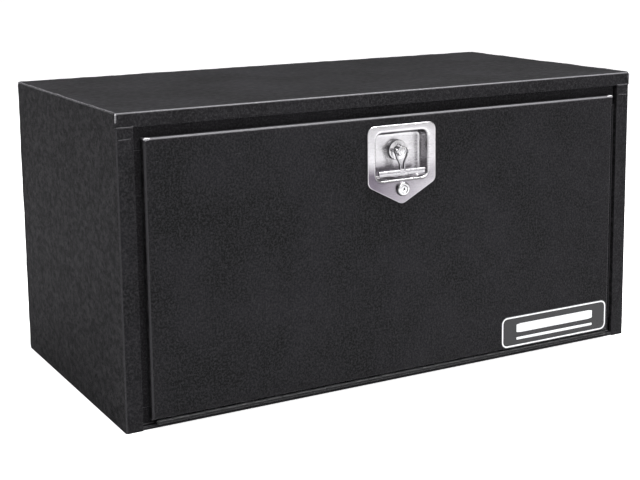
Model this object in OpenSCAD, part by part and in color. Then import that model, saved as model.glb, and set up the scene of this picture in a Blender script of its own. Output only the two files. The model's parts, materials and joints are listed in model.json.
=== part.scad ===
// Steel truck tool box for mounting under or beside a truck bed.
// A drop-down door turns on a full-length hinge along its bottom edge and is held shut by a
// folding T-handle latch in a stainless pan, with a key lock under it.
// +X runs along the box to the right, -Y is the door side and +Z is up.
// The origin is the centre of the whole object's footprint, on the base.

/* [Box] */
// Length of the box along the door
body_w = 914.4; // [760:0.1:1200]
// Depth of the box from the frame's face to the back
body_d = 457.2; // [300:0.1:610]
// Height of the box
body_h = 457.2; // [430:0.1:610]
// Thickness of the steel sheet
sheet_t = 2; // [1.5:0.1:3]
// Width of each stile beside the door
stile_w = 25.5; // [20:0.5:40]
// Height of the front flange under the top
flange_h = 21; // [18:0.5:40]
// Depth of the gutter round the door
gutter_d = 9; // [9:0.5:12]

/* [Door] */
// Gap between the stile and the door
side_gap = 13; // [6:0.1:16]
// Gap between the top flange and the door
top_gap = 16.2; // [12:0.1:24]
// How far the door stands proud of the frame
door_proud = 4; // [2:0.1:6]
// Depth of the door's folded edge behind the frame's face
door_back = 7.5; // [6.5:0.5:7.5]

/* [Hinge] */
// Height of the hinge pin above the base
hinge_z = 10; // [9:0.1:14]
// Radius of the hinge knuckles
knuckle_r = 3.2; // [3:0.1:3.3]
// Radius of the hinge pin
pin_r = 1.6; // [1.4:0.1:1.8]
// Length of one knuckle
knuckle_l = 25; // [20:1:50]
// Number of knuckles, an odd number
knuckle_n = 33; // [9:2:33]
// Radial running clearance of pins in their bores
running = 0.05; // [0.02:0.01:0.1]

/* [Latch] */
// Height of the latch shaft above the base
latch_z = 364.5; // [340:0.5:372]
// Width of the latch plate
plate_w = 123; // [118:1:130]
// Width of the pocket that the handle folds into
pocket_w = 92; // [91:0.5:94]
// Height of the pocket
pocket_h = 71; // [70:0.5:72]
// Depth of the pocket behind the frame's face
pocket_d = 14; // [12:0.5:16]
// Length of the handle's cross bar
bar_l = 84; // [70:1:86]
// Distance from the handle's pivot to its cross bar
stem_l = 33; // [28:0.5:34]
// Length of the pawl from the shaft's axis
pawl_l = 35.5; // [28:0.5:35.5]
// Height of the key lock above the base
lock_z = 306; // [304:0.5:306]
// How far the key lock stands proud of the latch plate
lock_proud = 6; // [4:0.5:7]

/* [Label] */
// Length of the blank label
label_w = 222; // [100:1:240]
// Height of the blank label
label_h = 54; // [30:1:56]
// Corner radius of the label
label_r = 12; // [3:1:14]

/* [Hidden] */

$fn = 48;
bend_steps = 6;      // facets in each quarter bend
bend_r = 2.2;        // bend radius at the middle of the sheet
slack = 0.3;         // gap between bodies that move past each other
fit = 0.1;           // radial gap round fasteners

// the latch parts' depths, measured from the frame's face
plate_t = 1.5;
gasket_t = 1;
plate_back = -door_proud - gasket_t;
plate_front = plate_back - plate_t;
lock_front = plate_front - lock_proud;
face_y = -(body_d + lock_front) / 2;   // the frame's face, once the footprint is centred

inner_x = body_w / 2 - stile_w;        // inner edge of a stile
door_w = 2 * (inner_x - side_gap);
door_top = body_h - flange_h - top_gap;
leaf_t = 1.5;
leaf_top = 3.5;                        // from the hinge axis to a leaf's outer face
door_bottom = hinge_z + leaf_top;
sill_z = hinge_z - leaf_top;
hinge_y = -knuckle_r - 0.5;
landing = 18;                          // how far the seal's landing reaches behind the door
mouth_x = door_w / 2 - landing;
mouth_top = door_top - landing;
mouth_bottom = door_bottom + landing;
lip_y = gutter_d + sheet_t;            // rear face of the landing

gold = "#b08d57";
coat = "#26262a";
steel = "#c4c4c8";
rubber = "#101010";

// door frame
seal_w = 8;
seal_inset = landing - seal_w / 2 - slack;
seal_h = gutter_d + door_proud - sheet_t - slack;
seal_corner = 20;
strike_w = 90;
strike_low = mouth_top + 2;
strike_h = 28;
strike_reach = 11;      // from the landing back to the edge that the pawl pulls on
strike_screw_x = 36;
strike_screw_z = mouth_top + 22;
screw_r = 2.5;

// hinge
hinge_l = knuckle_n * knuckle_l;
leaf_depth = door_back - sheet_t / 2;
rivet_r = 1.6;
rivet_head_r = 2.4;
rivet_head_h = 1;
rivet_y = 4.5;
rivet_n = 8;
rivet_pitch = hinge_l / rivet_n;
rivet_offset = 20;

// door stay anchors
anchor_z = 300;
anchor_w = 20;
anchor_reach = 20;
anchor_hole_r = 3;

// door
edge_r = 4.5;
pocket_r = 10;
pocket_z = latch_z - 7;
hem = plate_t + 0.5;    // room round the pan in the door's cut-out
brace_half = 12;
brace_foot = 10;
brace_h = 10;
brace_out = door_w / 2 - 50;
brace_in = 90;
upper_brace_z = door_top - 39;
lower_brace_z = 190;
label_t = 0.6;
label_gap = 4.5;     // from the label to the door's end

// latch, fixed parts
plate_top = latch_z + 41.5;
plate_shoulder = latch_z - 51;
plate_tip = latch_z - 83.5;
stud_x = 54;
stud_r = 2.4;
bush_r = 8;
nut_t = 4;
shaft_r = 6;
bush_flange_t = 2;
lock_r = 9.5;
lock_head_r = 11.5;
plug_r = 6;
lock_back = 17;

// latch, turning parts
hub_disc_r = 16;
hub_disc_t = 8;
boss_r = 8;
boss_front = plate_front - 0.5;
pivot_y = -3.6;
pivot_r = 2;
rivet_end = 1.5;        // how far the pivot's peened ends stand out of the yoke
pawl_y = lip_y + strike_reach + 1.7;
pawl_t = 5;
thread_r = 5;
disc_back = pocket_d - slack;
shaft_end = pawl_y + pawl_t + 10;
pawl_half = 10;
washer_t = 1.5;
bar_r = 3;
bar_y = -5.4;
eye_r = 4.5;
arm_t = 3;
arm_d = 4.8;
arm_in = boss_r + slack;
arm_knee = 9;           // from the pivot down to where the yoke's arms turn inward
stem_half = 3.5;

// key lock
cam_t = 2;
cam_l = 28;
plug_front = lock_front + 0.6;
plug_back = lock_back + slack;

// ---------- helpers ----------

// Moves a shape drawn from the frame's face into the object's frame.
module place() { translate([0, face_y, 0]) children(); }

// Extrudes a profile drawn as (y, z) along X, centred.
module along_x(length) {
    rotate([90, 0, 90]) linear_extrude(height = length, center = true) children();
}

// Extrudes a profile drawn as (x, z) from depth y0 to y1.
module along_y(y0, y1) {
    translate([0, y1, 0]) rotate([90, 0, 0]) linear_extrude(height = y1 - y0) children();
}

// A cylinder on a line along Y through (x, z), from depth y0 to y1.
module rod_y(x, z, r, y0, y1, sides = 48) {
    translate([x, y1, z]) rotate([90, 0, 0]) cylinder(r = r, h = y1 - y0, $fn = sides);
}

// A cylinder on a line along X through (y, z), from x0 to x1.
module rod_x(y, z, r, x0, x1) {
    translate([x0, y, z]) rotate([0, 90, 0]) cylinder(r = r, h = x1 - x0);
}

function unit(v) = v / norm(v);
function left_of(v) = [-v[1], v[0]];
function heading(path, i) = unit(path[i + 1] - path[i]);
function turn(u, w) = sign(u[0] * w[1] - u[1] * w[0]);

// One face of a sheet folded at right angles along a path: side is 1 for the left face.
function sheet_side(path, side) = let (n = len(path) - 1) concat(
    [path[0] + side * sheet_t / 2 * left_of(heading(path, 0))],
    [for (i = [1:1:n - 1], k = [0:bend_steps]) let (
        u = heading(path, i - 1),
        w = heading(path, i),
        a = 90 * k / bend_steps,
        r = bend_r - side * turn(u, w) * sheet_t / 2
    ) path[i] - bend_r * u + bend_r * w + r * (sin(a) * u - cos(a) * w)],
    [path[n] + side * sheet_t / 2 * left_of(heading(path, n - 1))]
);
function reversed(list) = [for (i = [len(list) - 1:-1:0]) list[i]];

// Section of a folded sheet whose middle follows a path.
module folded(path) {
    polygon(concat(sheet_side(path, 1), reversed(sheet_side(path, -1))));
}

// A polygon with every corner rounded to its own radius. Corners run anticlockwise.
function rounded(points, radii, steps = 8) = let (n = len(points)) [
    for (i = [0:n - 1]) let (
        p = points[i],
        u = unit(points[(i + n - 1) % n] - p),
        w = unit(points[(i + 1) % n] - p),
        half = acos(u * w) / 2,
        centre = p + unit(u + w) * radii[i] / sin(half),
        start = p + u * radii[i] / tan(half) - centre,
        from = atan2(start[1], start[0]),
        step = (180 - 2 * half) / steps
    ) each [for (k = [0:steps]) centre + radii[i] * [cos(from + k * step), sin(from + k * step)]]
];

// Corners of a rectangle centred on (x, z), anticlockwise.
function corners(x, z, w, h) = [
    [x - w / 2, z - h / 2], [x + w / 2, z - h / 2], [x + w / 2, z + h / 2], [x - w / 2, z + h / 2]
];
module pill(x, z, w, h, r) { polygon(rounded(corners(x, z, w, h), [r, r, r, r])); }

// ---------- box ----------

module top_panel() {
    color(coat) place() along_x(body_w) folded([
        [body_d - sheet_t, body_h - sheet_t / 2],
        [sheet_t / 2, body_h - sheet_t / 2],
        [sheet_t / 2, body_h - flange_h]
    ]);
}

module back_panel() {
    color(coat) place() translate([-body_w / 2, body_d - sheet_t, 0]) cube([body_w, sheet_t, body_h]);
}

module floor_panel() {
    floor_x = body_w / 2 - sheet_t;
    color(coat) place() {
        along_x(2 * inner_x) folded([
            [body_d - sheet_t, sheet_t / 2],
            [sheet_t / 2, sheet_t / 2],
            [sheet_t / 2, sill_z - sheet_t]
        ]);
        translate([-floor_x, 2 * sheet_t, 0]) cube([2 * floor_x, body_d - 3 * sheet_t, sheet_t]);
    }
}

// The end panel's front edge is folded round into the stile, which stops under the top flange.
module end_panel() {
    wall_x = body_w / 2 - sheet_t / 2;
    stile_top = body_h - flange_h;
    place() {
        linear_extrude(height = stile_top) folded([
            [-wall_x, body_d - sheet_t], [-wall_x, sheet_t / 2], [-inner_x, sheet_t / 2]
        ]);
        translate([-body_w / 2, 2 * sheet_t, 0]) cube([sheet_t, body_d - 3 * sheet_t, body_h - sheet_t]);
    }
}
module left_end_panel() { color(coat) end_panel(); }
module right_end_panel() { color(coat) mirror([1, 0, 0]) end_panel(); }

// ---------- door frame ----------

module header_channel() {
    jamb_z = body_h - flange_h + sheet_t / 2;
    color(coat) place() along_x(2 * inner_x) folded([
        [sheet_t, jamb_z], [gutter_d + sheet_t / 2, jamb_z], [gutter_d + sheet_t / 2, mouth_top]
    ]);
}

module sill_channel() {
    jamb_z = sill_z - sheet_t / 2;
    color(coat) place() difference() {
        along_x(2 * inner_x) folded([
            [0, jamb_z], [gutter_d + sheet_t / 2, jamb_z], [gutter_d + sheet_t / 2, mouth_bottom]
        ]);
        at_rivets() cylinder(r = rivet_r + fit, h = door_bottom);
    }
}

module jamb() {
    wall_x = inner_x + sheet_t / 2;
    place() {
        translate([0, 0, mouth_bottom]) linear_extrude(height = mouth_top - mouth_bottom) folded([
            [-wall_x, sheet_t], [-wall_x, gutter_d + sheet_t / 2], [-mouth_x, gutter_d + sheet_t / 2]
        ]);
        translate([-inner_x - sheet_t, sheet_t, sheet_t])
            cube([sheet_t, gutter_d - 2 * sheet_t, body_h - flange_h - sheet_t]);
    }
}
module left_jamb() { color(coat) jamb(); }
module right_jamb() { color(coat) mirror([1, 0, 0]) jamb(); }

// Bulb seal in a loop along the landing's inner edge, just clear of the shut door's skin.
module seal_section() {
    translate([-seal_w / 2, 0]) square([seal_w, 2]);
    intersection() {
        translate([0, seal_h - seal_w / 2]) circle(r = seal_w / 2);
        translate([-seal_w / 2, 0]) square([seal_w, seal_h]);
    }
}
module door_seal() {
    half_x = door_w / 2 - seal_inset;
    low = door_bottom + seal_inset;
    high = door_top - seal_inset;
    mid = (low + high) / 2;
    color(rubber) place() translate([0, gutter_d, mid]) rotate([90, 0, 0])
        for (a = [0, 180]) rotate([0, 0, a]) {
            translate([0, (low - high) / 2, 0]) rotate([90, 0, 90])
                linear_extrude(height = 2 * (half_x - seal_corner), center = true) seal_section();
            translate([half_x, 0, 0]) rotate([90, 0, 0])
                linear_extrude(height = high - low - 2 * seal_corner, center = true) seal_section();
            translate([half_x - seal_corner, (low - high) / 2 + seal_corner, 0]) rotate([0, 0, -90])
                rotate_extrude(angle = 90) translate([seal_corner, 0]) seal_section();
            translate([-half_x + seal_corner, (low - high) / 2 + seal_corner, 0]) rotate([0, 0, 180])
                rotate_extrude(angle = 90) translate([seal_corner, 0]) seal_section();
        }
}

// Angle bracket behind the header's landing, with a rear edge for the pawl.
module strike_bracket() {
    leg_y = lip_y + sheet_t / 2;
    color(steel) place() difference() {
        along_x(strike_w) folded([
            [leg_y, strike_low + strike_h],
            [leg_y, strike_low + sheet_t / 2],
            [lip_y + strike_reach, strike_low + sheet_t / 2]
        ]);
        for (x = [-strike_screw_x, strike_screw_x])
            rod_y(x, strike_screw_z, screw_r + fit, lip_y - 1, lip_y + sheet_t + 1);
    }
}
module strike_screws() {
    color(steel) place() for (x = [-strike_screw_x, strike_screw_x]) {
        rod_y(x, strike_screw_z, screw_r, lip_y, lip_y + sheet_t);
        rod_y(x, strike_screw_z, 2 * screw_r, lip_y + sheet_t, lip_y + sheet_t + screw_r);
    }
}

// ---------- hinge ----------

// Rivets along the hinge. The door's stand beside the body's, so their heads pass.
module at_rivets(shift = 0) {
    for (i = [0:rivet_n - 1])
        translate([(i - (rivet_n - 1) / 2) * rivet_pitch + shift, rivet_y, 0]) children();
}
// One leaf: knuckles from the first given, every second one. Its plate is above or below the pin.
module leaf(first, plate_z) {
    difference() {
        union() {
            for (i = [first:2:knuckle_n - 1])
                rod_x(hinge_y, hinge_z, knuckle_r, knuckle_x(i), knuckle_x(i) + knuckle_l - slack);
            for (i = [first:2:knuckle_n - 1])
                translate([knuckle_x(i), hinge_y, plate_z])
                    cube([knuckle_l - slack, -hinge_y + 1, leaf_t]);
            translate([-hinge_l / 2, sheet_t / 2, plate_z]) cube([hinge_l, leaf_depth, leaf_t]);
        }
        rod_x(hinge_y, hinge_z, pin_r + running, -hinge_l / 2 - 1, hinge_l / 2 + 1);
    }
}
function knuckle_x(i) = -hinge_l / 2 + i * knuckle_l;
module hinge_leaf_body() {
    color(steel) place() difference() {
        leaf(0, sill_z);
        at_rivets() translate([0, 0, sill_z - 1]) cylinder(r = rivet_r + fit, h = leaf_t + 2);
    }
}
module hinge_leaf_door() {
    color(steel) place() difference() {
        leaf(1, door_bottom - leaf_t);
        at_rivets(rivet_offset) translate([0, 0, door_bottom - leaf_t - 1])
            cylinder(r = rivet_r + fit, h = leaf_t + 2);
    }
}
module hinge_pin() {
    color(steel) place() rod_x(hinge_y, hinge_z, pin_r, -hinge_l / 2, hinge_l / 2);
}
module hinge_rivets_body() {
    color(steel) place() at_rivets() translate([0, 0, sill_z + leaf_t]) mirror([0, 0, 1]) {
        translate([0, 0, -rivet_head_h]) cylinder(r = rivet_head_r, h = rivet_head_h);
        cylinder(r = rivet_r, h = leaf_t + sheet_t);
    }
}
module hinge_rivets_door() {
    color(steel) place() at_rivets(rivet_offset) translate([0, 0, door_bottom - leaf_t]) {
        translate([0, 0, -rivet_head_h]) cylinder(r = rivet_head_r, h = rivet_head_h);
        cylinder(r = rivet_r, h = leaf_t + sheet_t);
        translate([0, 0, leaf_t + sheet_t]) cylinder(r = rivet_head_r, h = rivet_head_h);
    }
}

// ---------- door stay anchors ----------

// A small angle bracket welded by its foot, with an eye across its ear.
module anchor(x, y, reach) {
    difference() {
        union() {
            translate([x, y, anchor_z - anchor_w / 2]) cube([anchor_w - 2, sheet_t, anchor_w]);
            translate([x, y, anchor_z - anchor_w / 2]) cube([sheet_t, reach, anchor_w]);
        }
        rod_x(y + reach - anchor_hole_r * 2, anchor_z, anchor_hole_r, x - 1, x + sheet_t + 1);
    }
}
module body_anchor() { place() anchor(mouth_x + 2, lip_y, anchor_reach); }
module left_stay_anchor() { color(steel) mirror([1, 0, 0]) body_anchor(); }
module right_stay_anchor() { color(steel) body_anchor(); }
module door_anchor() { place() anchor(mouth_x - anchor_w - 2, sheet_t - door_proud, anchor_reach - 6); }
module left_door_anchor() { color(steel) mirror([1, 0, 0]) door_anchor(); }
module right_door_anchor() { color(steel) door_anchor(); }

// ---------- door ----------

// The door as a block whose four front edges are rounded, shrunk by an inset all round.
module door_block(inset, back) {
    r = edge_r - inset;
    front = -door_proud + inset;
    half_x = door_w / 2 - inset;
    low = door_bottom + inset;
    high = door_top - inset;
    sharp = 0.01;
    intersection() {
        along_x(door_w) polygon(rounded(
            [[front, low], [back, low], [back, high], [front, high]], [r, sharp, sharp, r]));
        translate([0, 0, low]) linear_extrude(height = high - low) polygon(rounded(
            [[-half_x, front], [half_x, front], [half_x, back], [-half_x, back]], [r, r, sharp, sharp]));
    }
}
module door_skin() {
    color(coat) place() difference() {
        door_block(0, door_back);
        door_block(sheet_t, door_back + 1);
        along_y(-door_proud - 1, 0)
            pill(0, pocket_z, pocket_w + 2 * hem, pocket_h + 2 * hem, pocket_r + hem);
        rod_y(0, lock_z, lock_r + fit, -door_proud - 1, 0);
        at_studs() rod_y(0, 0, stud_r + fit, -door_proud - 1, 0);
        at_rivets(rivet_offset) cylinder(r = rivet_r + fit, h = door_bottom + sheet_t + 1);
    }
}

// Hat-section brace on the inside of the door, centred on height z.
module brace(x0, x1, z) {
    foot_y = sheet_t * 1.5 - door_proud;
    place() translate([(x0 + x1) / 2, 0, 0]) along_x(x1 - x0) folded([
        [foot_y, z - brace_half - brace_foot],
        [foot_y, z - brace_half],
        [foot_y + brace_h, z - brace_half],
        [foot_y + brace_h, z + brace_half],
        [foot_y, z + brace_half],
        [foot_y, z + brace_half + brace_foot]
    ]);
}
module upper_left_brace() { color(coat) brace(-brace_out, -brace_in, upper_brace_z); }
module upper_right_brace() { color(coat) brace(brace_in, brace_out, upper_brace_z); }
module lower_brace() { color(coat) brace(-brace_out, brace_out, lower_brace_z); }

module label_plate() {
    color("white") place() along_y(-door_proud - label_t, -door_proud)
        pill(door_w / 2 - label_gap - label_w / 2, door_bottom + 2 + label_h / 2,
            label_w, label_h, label_r);
}

// ---------- latch, fixed parts ----------

module at_studs() {
    for (x = [-stud_x, stud_x], z = [latch_z + 30, latch_z - 36]) translate([x, 0, z]) children();
}
// Outline of the latch plate: square shoulders above and a blunt point below.
module plate_outline(grow = 0) {
    half = plate_w / 2 + grow;
    polygon(rounded([
        [0, plate_tip - grow], [half, plate_shoulder], [half, plate_top + grow],
        [-half, plate_top + grow], [-half, plate_shoulder]
    ], [12, 13, 12, 12, 13]));
}
module latch_gasket() {
    color(rubber) place() difference() {
        along_y(plate_back, -door_proud) plate_outline(-2);
        along_y(plate_back - 1, -door_proud + 1)
            pill(0, pocket_z, pocket_w + 2 * hem, pocket_h + 2 * hem, pocket_r + hem);
        rod_y(0, lock_z, lock_r + fit, plate_back - 1, 0);
        at_studs() rod_y(0, 0, stud_r + fit, plate_back - 1, 0);
    }
}
module latch_pan() {
    color(steel) place() difference() {
        union() {
            along_y(plate_front, plate_back) plate_outline();
            along_y(plate_back, pocket_d + plate_t)
                pill(0, pocket_z, pocket_w + 2 * plate_t, pocket_h + 2 * plate_t, pocket_r + plate_t);
        }
        along_y(plate_front - 1, pocket_d) pill(0, pocket_z, pocket_w, pocket_h, pocket_r);
        rod_y(0, latch_z, bush_r + fit, pocket_d - 1, pocket_d + plate_t + 1);
        rod_y(0, lock_z, lock_r + fit, plate_front - 1, plate_back + 1);
    }
}
module latch_studs() {
    color(steel) place() at_studs() rod_y(0, 0, stud_r, plate_back, sheet_t - door_proud + nut_t + 2);
}
module latch_nuts() {
    color(steel) place() at_studs() difference() {
        rod_y(0, 0, 4.6, sheet_t - door_proud, sheet_t - door_proud + nut_t, 6);
        rod_y(0, 0, stud_r + fit, -door_proud, 5);
    }
}
module shaft_bushing() {
    color(gold) place() difference() {
        union() {
            rod_y(0, latch_z, bush_r, pocket_d, pocket_d + plate_t);
            rod_y(0, latch_z, 1.5 * bush_r, pocket_d + plate_t, pocket_d + plate_t + bush_flange_t);
        }
        rod_y(0, latch_z, shaft_r + running, pocket_d - 1, pocket_d + 2 * bush_flange_t + 1);
    }
}
module lock_housing() {
    color(steel) place() difference() {
        union() {
            rod_y(0, lock_z, lock_head_r, lock_front, plate_front);
            rod_y(0, lock_z, lock_r, plate_front, lock_back);
        }
        rod_y(0, lock_z, plug_r + running, lock_front - 1, lock_back + 1);
    }
}
module lock_nut() {
    color(steel) place() difference() {
        rod_y(0, lock_z, 13, sheet_t - door_proud, sheet_t - door_proud + nut_t, 6);
        rod_y(0, lock_z, lock_r + fit, -door_proud, 5);
    }
}

// ---------- latch, turning parts ----------

// Disc, boss and shaft in one piece. The handle's yoke straddles the boss.
module latch_hub() {
    color(steel) place() difference() {
        union() {
            rod_y(0, latch_z, hub_disc_r, disc_back - hub_disc_t, disc_back);
            rod_y(0, latch_z, boss_r, boss_front, disc_back - hub_disc_t);
            rod_y(0, latch_z, shaft_r, disc_back, pawl_y);
            rod_y(0, latch_z, thread_r, pawl_y, shaft_end);
        }
        rod_x(pivot_y, latch_z, pivot_r, -boss_r - 1, boss_r + 1);
    }
}
module handle_pin() {
    yoke_out = arm_in + arm_t;
    color(steel) place() {
        rod_x(pivot_y, latch_z, pivot_r, -yoke_out - rivet_end, yoke_out + rivet_end);
        for (side = [0, 1]) mirror([side, 0, 0])
            rod_x(pivot_y, latch_z, 1.5 * pivot_r, yoke_out + slack, yoke_out + rivet_end);
    }
}
module pawl() {
    color(steel) place() difference() {
        along_y(pawl_y, pawl_y + pawl_t) union() {
            translate([0, latch_z]) circle(r = 14);
            translate([-pawl_half, latch_z]) square([2 * pawl_half, pawl_l - pawl_half]);
            translate([0, latch_z + pawl_l - pawl_half]) circle(r = pawl_half);
        }
        rod_y(0, latch_z, thread_r + fit, pawl_y - 1, pawl_y + pawl_t + 1);
    }
}
module pawl_washer() {
    color(steel) place() difference() {
        rod_y(0, latch_z, 10, pawl_y + pawl_t, pawl_y + pawl_t + washer_t);
        rod_y(0, latch_z, thread_r + fit, pawl_y, shaft_end);
    }
}
module pawl_nut() {
    nut_y = pawl_y + pawl_t + washer_t;
    color(steel) place() difference() {
        rod_y(0, latch_z, 9.5, nut_y, nut_y + 7, 6);
        rod_y(0, latch_z, thread_r + fit, pawl_y, shaft_end + 1);
    }
}
// Folding handle: a yoke pinned across the boss, and a round cross bar with domed ends.
module t_handle() {
    bar_z = latch_z - stem_l;
    end_x = bar_l / 2 - bar_r;
    out = arm_in + arm_t;
    knee_z = latch_z - arm_knee;
    color(steel) place() {
        for (side = [0, 1]) mirror([side, 0, 0]) difference() {
            union() {
                rod_x(pivot_y, latch_z, eye_r, arm_in, out);
                along_y(pivot_y - arm_d / 2, pivot_y + arm_d / 2) polygon([
                    [0, bar_z], [stem_half, bar_z], [stem_half, bar_z + 2 * bar_r],
                    [out, knee_z], [out, latch_z], [arm_in, latch_z], [arm_in, knee_z],
                    [0, bar_z + 3 * bar_r]
                ]);
            }
            rod_x(pivot_y, latch_z, pivot_r + running, 0, out + 1);
        }
        rod_x(bar_y, bar_z, bar_r, -end_x, end_x);
        for (x = [-end_x, end_x]) translate([x, bar_y, bar_z]) sphere(r = bar_r);
    }
}

// ---------- key lock ----------

module lock_plug() {
    color(gold) place() difference() {
        rod_y(0, lock_z, plug_r, plug_front, plug_back);
        translate([-0.8, plug_front - 1, lock_z - 3.5]) cube([1.6, 5, 7]);
    }
}
module lock_cam() {
    color(steel) place() along_y(plug_back, plug_back + cam_t) union() {
        translate([0, lock_z]) circle(r = plug_r + 1);
        translate([-plug_r, lock_z - cam_l + plug_r]) square([2 * plug_r, cam_l - plug_r]);
        translate([0, lock_z - cam_l + plug_r]) circle(r = plug_r);
    }
}
module lock_cam_screw() {
    color(steel) place() rod_y(0, lock_z, 3.5, plug_back + cam_t, plug_back + cam_t + 2.5);
}

// ---------- assembly ----------

top_panel();
back_panel();
floor_panel();
left_end_panel();
right_end_panel();
header_channel();
sill_channel();
left_jamb();
right_jamb();
door_seal();
strike_bracket();
strike_screws();
hinge_leaf_body();
hinge_pin();
hinge_rivets_body();
left_stay_anchor();
right_stay_anchor();
door_skin();
upper_left_brace();
upper_right_brace();
lower_brace();
hinge_leaf_door();
hinge_rivets_door();
left_door_anchor();
right_door_anchor();
label_plate();
latch_gasket();
latch_pan();
latch_studs();
latch_nuts();
shaft_bushing();
lock_housing();
lock_nut();
latch_hub();
handle_pin();
pawl();
pawl_washer();
pawl_nut();
t_handle();
lock_plug();
lock_cam();
lock_cam_screw();
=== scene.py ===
import json
import math

import bmesh
import bpy
from mathutils import Matrix, Vector, noise


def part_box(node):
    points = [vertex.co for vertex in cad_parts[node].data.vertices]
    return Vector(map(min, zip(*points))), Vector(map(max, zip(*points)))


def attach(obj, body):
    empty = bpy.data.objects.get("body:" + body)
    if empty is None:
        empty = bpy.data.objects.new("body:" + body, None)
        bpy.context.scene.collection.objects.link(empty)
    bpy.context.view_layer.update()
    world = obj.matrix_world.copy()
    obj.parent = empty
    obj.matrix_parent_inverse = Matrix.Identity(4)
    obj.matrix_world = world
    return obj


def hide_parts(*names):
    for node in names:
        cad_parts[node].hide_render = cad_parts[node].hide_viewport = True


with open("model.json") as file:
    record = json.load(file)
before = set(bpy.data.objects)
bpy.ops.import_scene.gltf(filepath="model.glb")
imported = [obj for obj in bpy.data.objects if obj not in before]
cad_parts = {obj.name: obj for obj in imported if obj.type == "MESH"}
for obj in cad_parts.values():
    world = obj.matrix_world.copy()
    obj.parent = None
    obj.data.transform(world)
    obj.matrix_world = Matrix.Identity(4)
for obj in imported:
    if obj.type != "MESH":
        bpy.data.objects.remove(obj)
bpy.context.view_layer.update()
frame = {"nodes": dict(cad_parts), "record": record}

MM = 0.001

# ---------------------------------------------------------------- places, all read from the frame
top_lo, top_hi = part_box("top_panel")
door_lo, door_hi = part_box("door_skin")
pan_lo, pan_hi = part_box("latch_pan")
hub_lo, hub_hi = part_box("latch_hub")
pin_lo, pin_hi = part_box("handle_pin")
bar_lo, bar_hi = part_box("t_handle")
lock_lo, lock_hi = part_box("lock_housing")
plug_lo, plug_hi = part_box("lock_plug")
label_lo, label_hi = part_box("label_plate")
FACE_Y = top_lo.y                                # front face of the door frame
BACK_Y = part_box("back_panel")[1].y
LEFT_X, RIGHT_X, TOP_Z = top_lo.x, top_hi.x, top_hi.z
STILE_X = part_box("left_end_panel")[1].x          # inner edge of the left stile; the right one mirrors it
HEADER_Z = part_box("header_channel")[1].z
PAN_FLOOR_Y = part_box("shaft_bushing")[0].y       # the bushing's front lies on the floor of the pan's pocket
HUB_Z = (hub_lo.z + hub_hi.z) / 2
LOCK_Z = (lock_lo.z + lock_hi.z) / 2
PIVOT_Y = (pin_lo.y + pin_hi.y) / 2              # middle line of the pin that the handle folds on


# ---------------------------------------------------------------- camera, floor and light
def add_camera():
    """Left of the box and above it, looking down on it a little."""
    azimuth, pitch, roll = (math.radians(degrees) for degrees in (28.9, -9.2, 0.7))
    data = bpy.data.cameras.new("camera")
    data.sensor_width = 36
    data.lens = 73.8
    data.shift_y = -0.15
    data.clip_start, data.clip_end = 0.05, 50
    cam = bpy.data.objects.new("camera", data)
    cam.location = (-1.065, -1.898, 0.697)
    turn = Matrix.Rotation(-azimuth, 3, "Z") @ Matrix.Rotation(math.pi / 2 + pitch, 3, "X")
    cam.rotation_euler = (turn @ Matrix.Rotation(-roll, 3, "Z")).to_euler()
    bpy.context.scene.collection.objects.link(cam)
    bpy.context.scene.camera = cam


def add_light(name, place, target, size, power, colour=(1, 1, 1)):
    data = bpy.data.lights.new(name, "AREA")
    data.shape = "RECTANGLE"
    data.size, data.size_y = size
    data.energy = power
    data.color = colour
    lamp = bpy.data.objects.new(name, data)
    lamp.location = place
    lamp.rotation_euler = (Vector(target) - Vector(place)).to_track_quat("-Z", "Y").to_euler()
    lamp.visible_camera = False
    bpy.context.scene.collection.objects.link(lamp)


def add_floor():
    """A pale floor that the camera sees as white and that glows less in reflections."""
    half, drop = 12, 0.5 * MM
    glow_reflected, glow_seen = 0.14, 0.85
    mesh = bpy.data.meshes.new("floor")
    corners = [(-half, -half, 0), (half, -half, 0), (half, half, 0), (-half, half, 0)]
    mesh.from_pydata(corners, [], [(0, 1, 2, 3)])
    floor = bpy.data.objects.new("floor", mesh)
    bpy.context.scene.collection.objects.link(floor)
    floor.location.z = -drop
    material = bpy.data.materials.new("floor_pale")
    material.use_nodes = True
    tree = material.node_tree
    shader = tree.nodes["Principled BSDF"]
    shader.inputs["Base Color"].default_value = (0.86, 0.86, 0.87, 1)
    shader.inputs["Roughness"].default_value = 0.9
    shader.inputs["Emission Color"].default_value = (1, 1, 1, 1)
    ray = tree.nodes.new("ShaderNodeLightPath")
    glow = tree.nodes.new("ShaderNodeMapRange")
    glow.inputs["To Min"].default_value = glow_reflected
    glow.inputs["To Max"].default_value = glow_seen
    tree.links.new(ray.outputs["Is Camera Ray"], glow.inputs["Value"])
    tree.links.new(glow.outputs["Result"], shader.inputs["Emission Strength"])
    mesh.materials.append(material)


def add_world():
    """White near the horizon, like a backdrop, and dim overhead, so that the lamps shape the metal."""
    fade_low, fade_high = 0.10, 0.26             # upward part of a ray's direction
    horizon, overhead = 1.02, 0.24
    world = bpy.data.worlds.new("studio")
    world.use_nodes = True
    tree = world.node_tree
    back = tree.nodes["Background"]
    back.inputs["Color"].default_value = (1.0, 0.99, 1.0, 1)
    coords = tree.nodes.new("ShaderNodeTexCoord")
    split = tree.nodes.new("ShaderNodeSeparateXYZ")
    ramp = tree.nodes.new("ShaderNodeMapRange")
    ramp.inputs["From Min"].default_value = fade_low
    ramp.inputs["From Max"].default_value = fade_high
    ramp.inputs["To Min"].default_value = horizon
    ramp.inputs["To Max"].default_value = overhead
    tree.links.new(coords.outputs["Generated"], split.inputs["Vector"])
    tree.links.new(split.outputs["Z"], ramp.inputs["Value"])
    tree.links.new(ramp.outputs["Result"], back.inputs["Strength"])
    bpy.context.scene.world = world
    bpy.context.scene.view_settings.view_transform = "Standard"


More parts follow.
